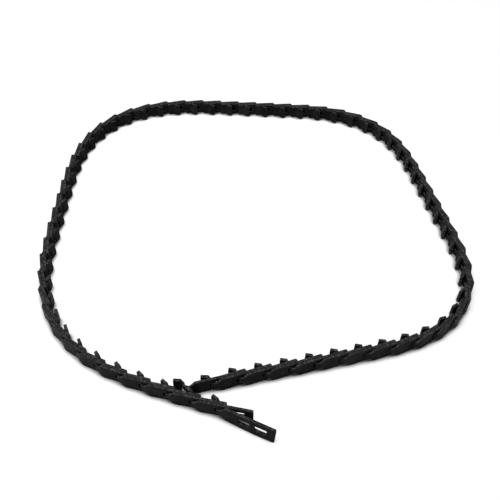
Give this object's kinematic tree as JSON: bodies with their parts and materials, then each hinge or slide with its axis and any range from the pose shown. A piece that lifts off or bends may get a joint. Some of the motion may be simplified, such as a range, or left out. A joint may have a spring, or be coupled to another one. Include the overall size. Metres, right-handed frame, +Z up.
{
  "type": "link v-belt",
  "caption": "Twist-lock link V-belt: slotted rubber links with T-heads, opened at a joint and laid in a loop on its side edge.",
  "frame": {"origin": "centre of the box round the loop, on the surface it stands on", "axes": "+Z up across the belt's width, +X to the right along the far strand, +Y away from the belt's open ends"},
  "size_m": [0.3604, 0.389, 0.013],
  "materials": {
    "link": "matte, fabric speckled cut edges"
  },
  "bodies": {
    "link_01": {"link_01": "link"},
    "link_02": {"link_02": "link"},
    "links_03_04": {"links_03_04": "link"},
    "link_05": {"link_05": "link"},
    "link_06": {"link_06": "link"},
    "link_07": {"link_07": "link"},
    "link_08": {"link_08": "link"},
    "link_09": {"link_09": "link"},
    "link_10": {"link_10": "link"},
    "link_11": {"link_11": "link"},
    "link_12": {"link_12": "link"},
    "link_13": {"link_13": "link"},
    "link_14": {"link_14": "link"},
    "link_15": {"link_15": "link"},
    "link_16": {"link_16": "link"},
    "link_17": {"link_17": "link"},
    "link_18": {"link_18": "link"},
    "links_19_20": {"links_19_20": "link"},
    "link_21": {"link_21": "link"},
    "link_22": {"link_22": "link"},
    "link_23": {"link_23": "link"},
    "link_24": {"link_24": "link"},
    "link_25": {"link_25": "link"},
    "link_26": {"link_26": "link"},
    "link_27": {"link_27": "link"},
    "link_28": {"link_28": "link"},
    "link_29": {"link_29": "link"},
    "link_30": {"link_30": "link"},
    "link_31": {"link_31": "link"},
    "links_32_33": {"links_32_33": "link"},
    "link_34": {"link_34": "link"},
    "link_35": {"link_35": "link"},
    "link_36": {"link_36": "link"},
    "link_37": {"link_37": "link"},
    "link_38": {"link_38": "link"},
    "link_39": {"link_39": "link"},
    "link_40": {"link_40": "link"},
    "link_41": {"link_41": "link"},
    "link_42": {"link_42": "link"},
    "link_43": {"link_43": "link"},
    "link_44": {"link_44": "link"},
    "link_45": {"link_45": "link"},
    "link_46": {"link_46": "link"},
    "link_47": {"link_47": "link"},
    "links_48_49": {"links_48_49": "link"},
    "link_50": {"link_50": "link"},
    "link_51": {"link_51": "link"},
    "link_52": {"link_52": "link"},
    "link_53": {"link_53": "link"},
    "link_54": {"link_54": "link"},
    "link_55": {"link_55": "link"},
    "link_56": {"link_56": "link"},
    "link_57": {"link_57": "link"},
    "link_58": {"link_58": "link"},
    "link_59": {"link_59": "link"},
    "link_60": {"link_60": "link"},
    "link_61": {"link_61": "link"},
    "link_62": {"link_62": "link"},
    "link_63": {"link_63": "link"},
    "link_64": {"link_64": "link"}
  },
  "joints": [
    {"name": "hinge_01_02", "type": "hinge", "parent": "link_02", "child": "link_01", "pos_m": [-0.02113, -0.15447, 0.0065], "axis": [0, 0, 1], "range_deg": [0, 4]},
    {"name": "hinge_02_03", "type": "hinge", "parent": "links_03_04", "child": "link_02", "pos_m": [-0.00265, -0.14986, 0.0065], "axis": [0, 0, 1], "range_deg": [0, 1]},
    {"name": "hinge_04_05", "type": "hinge", "parent": "link_05", "child": "links_03_04", "pos_m": [0.03432, -0.14064, 0.0065], "axis": [0, 0, 1], "range_deg": [0, 1]},
    {"name": "hinge_05_06", "type": "hinge", "parent": "link_06", "child": "link_05", "pos_m": [0.05281, -0.13604, 0.0065], "axis": [0, 0, 1], "range_deg": [0, 1]},
    {"name": "hinge_06_07", "type": "hinge", "parent": "link_07", "child": "link_06", "pos_m": [0.07129, -0.13143, 0.0065], "axis": [0, 0, 1], "range_deg": [0, 1]},
    {"name": "hinge_07_08", "type": "hinge", "parent": "link_08", "child": "link_07", "pos_m": [0.08977, -0.12682, 0.0065], "axis": [0, 0, 1], "range_deg": [0, 1.29]},
    {"name": "hinge_08_09", "type": "hinge", "parent": "link_09", "child": "link_08", "pos_m": [0.10815, -0.12179, 0.0065], "axis": [0, 0, 1], "range_deg": [0, 4.35]},
    {"name": "hinge_09_10", "type": "hinge", "parent": "link_10", "child": "link_09", "pos_m": [0.12609, -0.11538, 0.0065], "axis": [0, 0, 1], "range_deg": [0, 8.31]},
    {"name": "hinge_10_11", "type": "hinge", "parent": "link_11", "child": "link_10", "pos_m": [0.14291, -0.10645, 0.0065], "axis": [0, 0, 1], "range_deg": [0, 12.04]},
    {"name": "hinge_11_12", "type": "hinge", "parent": "link_12", "child": "link_11", "pos_m": [0.15751, -0.0942, 0.0065], "axis": [0, 0, 1], "range_deg": [0, 14.47]},
    {"name": "hinge_12_13", "type": "hinge", "parent": "link_13", "child": "link_12", "pos_m": [0.16858, -0.0787, 0.0065], "axis": [0, 0, 1], "range_deg": [0, 14.9]},
    {"name": "hinge_13_14", "type": "hinge", "parent": "link_14", "child": "link_13", "pos_m": [0.17529, -0.06087, 0.0065], "axis": [0, 0, 1], "range_deg": [0, 13.22]},
    {"name": "hinge_14_15", "type": "hinge", "parent": "link_15", "child": "link_14", "pos_m": [0.17774, -0.04198, 0.0065], "axis": [0, 0, 1], "range_deg": [0, 9.89]},
    {"name": "hinge_15_16", "type": "hinge", "parent": "link_16", "child": "link_15", "pos_m": [0.17692, -0.02295, 0.0065], "axis": [0, 0, 1], "range_deg": [0, 5.89]},
    {"name": "hinge_16_17", "type": "hinge", "parent": "link_17", "child": "link_16", "pos_m": [0.17415, -0.0041, 0.0065], "axis": [0, 0, 1], "range_deg": [0, 2.34]},
    {"name": "hinge_17_18", "type": "hinge", "parent": "link_18", "child": "link_17", "pos_m": [0.17061, 0.01462, 0.0065], "axis": [0, 0, 1], "range_deg": [0, 1]},
    {"name": "hinge_18_19", "type": "hinge", "parent": "links_19_20", "child": "link_18", "pos_m": [0.16697, 0.03332, 0.0065], "axis": [0, 0, 1], "range_deg": [0, 1]},
    {"name": "hinge_20_21", "type": "hinge", "parent": "link_21", "child": "links_19_20", "pos_m": [0.15971, 0.07072, 0.0065], "axis": [0, 0, 1], "range_deg": [0, 1]},
    {"name": "hinge_21_22", "type": "hinge", "parent": "link_22", "child": "link_21", "pos_m": [0.15598, 0.0894, 0.0065], "axis": [0, 0, 1], "range_deg": [0, 2.11]},
    {"name": "hinge_22_23", "type": "hinge", "parent": "link_23", "child": "link_22", "pos_m": [0.15156, 0.10793, 0.0065], "axis": [0, 0, 1], "range_deg": [0, 5.05]},
    {"name": "hinge_23_24", "type": "hinge", "parent": "link_24", "child": "link_23", "pos_m": [0.14553, 0.126, 0.0065], "axis": [0, 0, 1], "range_deg": [0, 8.34]},
    {"name": "hinge_24_25", "type": "hinge", "parent": "link_25", "child": "link_24", "pos_m": [0.13694, 0.14301, 0.0065], "axis": [0, 0, 1], "range_deg": [0, 11.11]},
    {"name": "hinge_25_26", "type": "hinge", "parent": "link_26", "child": "link_25", "pos_m": [0.12524, 0.15804, 0.0065], "axis": [0, 0, 1], "range_deg": [0, 12.61]},
    {"name": "hinge_26_27", "type": "hinge", "parent": "link_27", "child": "link_26", "pos_m": [0.11053, 0.17015, 0.0065], "axis": [0, 0, 1], "range_deg": [0, 12.44]},
    {"name": "hinge_27_28", "type": "hinge", "parent": "link_28", "child": "link_27", "pos_m": [0.09356, 0.1788, 0.0065], "axis": [0, 0, 1], "range_deg": [0, 10.64]},
    {"name": "hinge_28_29", "type": "hinge", "parent": "link_29", "child": "link_28", "pos_m": [0.07529, 0.18418, 0.0065], "axis": [0, 0, 1], "range_deg": [0, 7.7]},
    {"name": "hinge_29_30", "type": "hinge", "parent": "link_30", "child": "link_29", "pos_m": [0.05646, 0.18706, 0.0065], "axis": [0, 0, 1], "range_deg": [0, 4.4]},
    {"name": "hinge_30_31", "type": "hinge", "parent": "link_31", "child": "link_30", "pos_m": [0.03746, 0.18849, 0.0065], "axis": [0, 0, 1], "range_deg": [0, 1.64]},
    {"name": "hinge_31_32", "type": "hinge", "parent": "links_32_33", "child": "link_31", "pos_m": [0.01843, 0.18937, 0.0065], "axis": [0, 0, 1], "range_deg": [0, 1]},
    {"name": "hinge_33_34", "type": "hinge", "parent": "links_32_33", "child": "link_34", "pos_m": [-0.01963, 0.19104, 0.0065], "axis": [0, 0, -1], "range_deg": [0, 1]},
    {"name": "hinge_34_35", "type": "hinge", "parent": "link_34", "child": "link_35", "pos_m": [-0.03867, 0.19179, 0.0065], "axis": [0, 0, -1], "range_deg": [0, 1.4]},
    {"name": "hinge_35_36", "type": "hinge", "parent": "link_35", "child": "link_36", "pos_m": [-0.05772, 0.19208, 0.0065], "axis": [0, 0, -1], "range_deg": [0, 3.32]},
    {"name": "hinge_36_37", "type": "hinge", "parent": "link_36", "child": "link_37", "pos_m": [-0.07675, 0.19126, 0.0065], "axis": [0, 0, -1], "range_deg": [0, 5.69]},
    {"name": "hinge_37_38", "type": "hinge", "parent": "link_37", "child": "link_38", "pos_m": [-0.09561, 0.18856, 0.0065], "axis": [0, 0, -1], "range_deg": [0, 8.13]},
    {"name": "hinge_38_39", "type": "hinge", "parent": "link_38", "child": "link_39", "pos_m": [-0.11389, 0.18322, 0.0065], "axis": [0, 0, -1], "range_deg": [0, 10.22]},
    {"name": "hinge_39_40", "type": "hinge", "parent": "link_39", "child": "link_40", "pos_m": [-0.13094, 0.17473, 0.0065], "axis": [0, 0, -1], "range_deg": [0, 11.63]},
    {"name": "hinge_40_41", "type": "hinge", "parent": "link_40", "child": "link_41", "pos_m": [-0.14593, 0.16296, 0.0065], "axis": [0, 0, -1], "range_deg": [0, 12.13]},
    {"name": "hinge_41_42", "type": "hinge", "parent": "link_41", "child": "link_42", "pos_m": [-0.15811, 0.14832, 0.0065], "axis": [0, 0, -1], "range_deg": [0, 11.63]},
    {"name": "hinge_42_43", "type": "hinge", "parent": "link_42", "child": "link_43", "pos_m": [-0.16708, 0.13151, 0.0065], "axis": [0, 0, -1], "range_deg": [0, 10.22]},
    {"name": "hinge_43_44", "type": "hinge", "parent": "link_43", "child": "link_44", "pos_m": [-0.17293, 0.11338, 0.0065], "axis": [0, 0, -1], "range_deg": [0, 8.13]},
    {"name": "hinge_44_45", "type": "hinge", "parent": "link_44", "child": "link_45", "pos_m": [-0.17616, 0.09461, 0.0065], "axis": [0, 0, -1], "range_deg": [0, 5.69]},
    {"name": "hinge_45_46", "type": "hinge", "parent": "link_45", "child": "link_46", "pos_m": [-0.17752, 0.07561, 0.0065], "axis": [0, 0, -1], "range_deg": [0, 3.32]},
    {"name": "hinge_46_47", "type": "hinge", "parent": "link_46", "child": "link_47", "pos_m": [-0.17776, 0.05656, 0.0065], "axis": [0, 0, -1], "range_deg": [0, 1.4]},
    {"name": "hinge_47_48", "type": "hinge", "parent": "link_47", "child": "links_48_49", "pos_m": [-0.17755, 0.03751, 0.0065], "axis": [0, 0, -1], "range_deg": [0, 1]},
    {"name": "hinge_49_50", "type": "hinge", "parent": "links_48_49", "child": "link_50", "pos_m": [-0.17692, -0.00059, 0.0065], "axis": [0, 0, -1], "range_deg": [0, 1]},
    {"name": "hinge_50_51", "type": "hinge", "parent": "link_50", "child": "link_51", "pos_m": [-0.17632, -0.01963, 0.0065], "axis": [0, 0, -1], "range_deg": [0, 2.3]},
    {"name": "hinge_51_52", "type": "hinge", "parent": "link_51", "child": "link_52", "pos_m": [-0.17496, -0.03863, 0.0065], "axis": [0, 0, -1], "range_deg": [0, 4.22]},
    {"name": "hinge_52_53", "type": "hinge", "parent": "link_52", "child": "link_53", "pos_m": [-0.1722, -0.05748, 0.0065], "axis": [0, 0, -1], "range_deg": [0, 6.25]},
    {"name": "hinge_53_54", "type": "hinge", "parent": "link_53", "child": "link_54", "pos_m": [-0.16741, -0.07591, 0.0065], "axis": [0, 0, -1], "range_deg": [0, 8.03]},
    {"name": "hinge_54_55", "type": "hinge", "parent": "link_54", "child": "link_55", "pos_m": [-0.16008, -0.0935, 0.0065], "axis": [0, 0, -1], "range_deg": [0, 9.25]},
    {"name": "hinge_55_56", "type": "hinge", "parent": "link_55", "child": "link_56", "pos_m": [-0.15003, -0.10968, 0.0065], "axis": [0, 0, -1], "range_deg": [0, 9.68]},
    {"name": "hinge_56_57", "type": "hinge", "parent": "link_56", "child": "link_57", "pos_m": [-0.1374, -0.12394, 0.0065], "axis": [0, 0, -1], "range_deg": [0, 9.25]},
    {"name": "hinge_57_58", "type": "hinge", "parent": "link_57", "child": "link_58", "pos_m": [-0.12264, -0.13598, 0.0065], "axis": [0, 0, -1], "range_deg": [0, 8.03]},
    {"name": "hinge_58_59", "type": "hinge", "parent": "link_58", "child": "link_59", "pos_m": [-0.10634, -0.14585, 0.0065], "axis": [0, 0, -1], "range_deg": [0, 6.25]},
    {"name": "hinge_59_60", "type": "hinge", "parent": "link_59", "child": "link_60", "pos_m": [-0.08907, -0.15388, 0.0065], "axis": [0, 0, -1], "range_deg": [0, 4.22]},
    {"name": "hinge_60_61", "type": "hinge", "parent": "link_60", "child": "link_61", "pos_m": [-0.07125, -0.16061, 0.0065], "axis": [0, 0, -1], "range_deg": [0, 2.3]},
    {"name": "hinge_61_62", "type": "hinge", "parent": "link_61", "child": "link_62", "pos_m": [-0.05317, -0.16663, 0.0065], "axis": [0, 0, -1], "range_deg": [0, 1]},
    {"name": "hinge_62_63", "type": "hinge", "parent": "link_62", "child": "link_63", "pos_m": [-0.03501, -0.17238, 0.0065], "axis": [0, 0, -1], "range_deg": [0, 1]},
    {"name": "hinge_63_64", "type": "hinge", "parent": "link_63", "child": "link_64", "pos_m": [-0.01684, -0.17811, 0.0065], "axis": [0, 0, -1], "range_deg": [0, 6]}
  ],
  "couplings": [
    {"joint": "hinge_01_02", "follows": "hinge_12_13", "ratio": 0.26843},
    {"joint": "hinge_02_03", "follows": "hinge_12_13", "ratio": 0.06711},
    {"joint": "hinge_04_05", "follows": "hinge_12_13", "ratio": 0.06711},
    {"joint": "hinge_05_06", "follows": "hinge_12_13", "ratio": 0.06711},
    {"joint": "hinge_06_07", "follows": "hinge_12_13", "ratio": 0.06711},
    {"joint": "hinge_07_08", "follows": "hinge_12_13", "ratio": 0.08673},
    {"joint": "hinge_08_09", "follows": "hinge_12_13", "ratio": 0.29198},
    {"joint": "hinge_09_10", "follows": "hinge_12_13", "ratio": 0.55773},
    {"joint": "hinge_10_11", "follows": "hinge_12_13", "ratio": 0.80791},
    {"joint": "hinge_11_12", "follows": "hinge_12_13", "ratio": 0.97088},
    {"joint": "hinge_13_14", "follows": "hinge_12_13", "ratio": 0.88692},
    {"joint": "hinge_14_15", "follows": "hinge_12_13", "ratio": 0.66402},
    {"joint": "hinge_15_16", "follows": "hinge_12_13", "ratio": 0.39512},
    {"joint": "hinge_16_17", "follows": "hinge_12_13", "ratio": 0.15719},
    {"joint": "hinge_17_18", "follows": "hinge_12_13", "ratio": 0.06711},
    {"joint": "hinge_18_19", "follows": "hinge_12_13", "ratio": 0.06711},
    {"joint": "hinge_20_21", "follows": "hinge_12_13", "ratio": 0.06711},
    {"joint": "hinge_21_22", "follows": "hinge_12_13", "ratio": 0.14155},
    {"joint": "hinge_22_23", "follows": "hinge_12_13", "ratio": 0.33887},
    {"joint": "hinge_23_24", "follows": "hinge_12_13", "ratio": 0.56002},
    {"joint": "hinge_24_25", "follows": "hinge_12_13", "ratio": 0.74575},
    {"joint": "hinge_25_26", "follows": "hinge_12_13", "ratio": 0.84629},
    {"joint": "hinge_26_27", "follows": "hinge_12_13", "ratio": 0.8347},
    {"joint": "hinge_27_28", "follows": "hinge_12_13", "ratio": 0.71408},
    {"joint": "hinge_28_29", "follows": "hinge_12_13", "ratio": 0.51677},
    {"joint": "hinge_29_30", "follows": "hinge_12_13", "ratio": 0.29561},
    {"joint": "hinge_30_31", "follows": "hinge_12_13", "ratio": 0.10989},
    {"joint": "hinge_31_32", "follows": "hinge_12_13", "ratio": 0.06711},
    {"joint": "hinge_33_34", "follows": "hinge_12_13", "ratio": 0.06711},
    {"joint": "hinge_34_35", "follows": "hinge_12_13", "ratio": 0.09404},
    {"joint": "hinge_35_36", "follows": "hinge_12_13", "ratio": 0.22297},
    {"joint": "hinge_36_37", "follows": "hinge_12_13", "ratio": 0.38212},
    {"joint": "hinge_37_38", "follows": "hinge_12_13", "ratio": 0.54535},
    {"joint": "hinge_38_39", "follows": "hinge_12_13", "ratio": 0.68587},
    {"joint": "hinge_39_40", "follows": "hinge_12_13", "ratio": 0.78061},
    {"joint": "hinge_40_41", "follows": "hinge_12_13", "ratio": 0.81402},
    {"joint": "hinge_41_42", "follows": "hinge_12_13", "ratio": 0.78061},
    {"joint": "hinge_42_43", "follows": "hinge_12_13", "ratio": 0.68587},
    {"joint": "hinge_43_44", "follows": "hinge_12_13", "ratio": 0.54535},
    {"joint": "hinge_44_45", "follows": "hinge_12_13", "ratio": 0.38212},
    {"joint": "hinge_45_46", "follows": "hinge_12_13", "ratio": 0.22297},
    {"joint": "hinge_46_47", "follows": "hinge_12_13", "ratio": 0.09404},
    {"joint": "hinge_47_48", "follows": "hinge_12_13", "ratio": 0.06711},
    {"joint": "hinge_49_50", "follows": "hinge_12_13", "ratio": 0.06711},
    {"joint": "hinge_50_51", "follows": "hinge_12_13", "ratio": 0.15444},
    {"joint": "hinge_51_52", "follows": "hinge_12_13", "ratio": 0.28342},
    {"joint": "hinge_52_53", "follows": "hinge_12_13", "ratio": 0.41973},
    {"joint": "hinge_53_54", "follows": "hinge_12_13", "ratio": 0.53916},
    {"joint": "hinge_54_55", "follows": "hinge_12_13", "ratio": 0.6205},
    {"joint": "hinge_55_56", "follows": "hinge_12_13", "ratio": 0.64932},
    {"joint": "hinge_56_57", "follows": "hinge_12_13", "ratio": 0.6205},
    {"joint": "hinge_57_58", "follows": "hinge_12_13", "ratio": 0.53916},
    {"joint": "hinge_58_59", "follows": "hinge_12_13", "ratio": 0.41973},
    {"joint": "hinge_59_60", "follows": "hinge_12_13", "ratio": 0.28342},
    {"joint": "hinge_60_61", "follows": "hinge_12_13", "ratio": 0.15444},
    {"joint": "hinge_61_62", "follows": "hinge_12_13", "ratio": 0.06711},
    {"joint": "hinge_62_63", "follows": "hinge_12_13", "ratio": 0.06711}
  ]
}
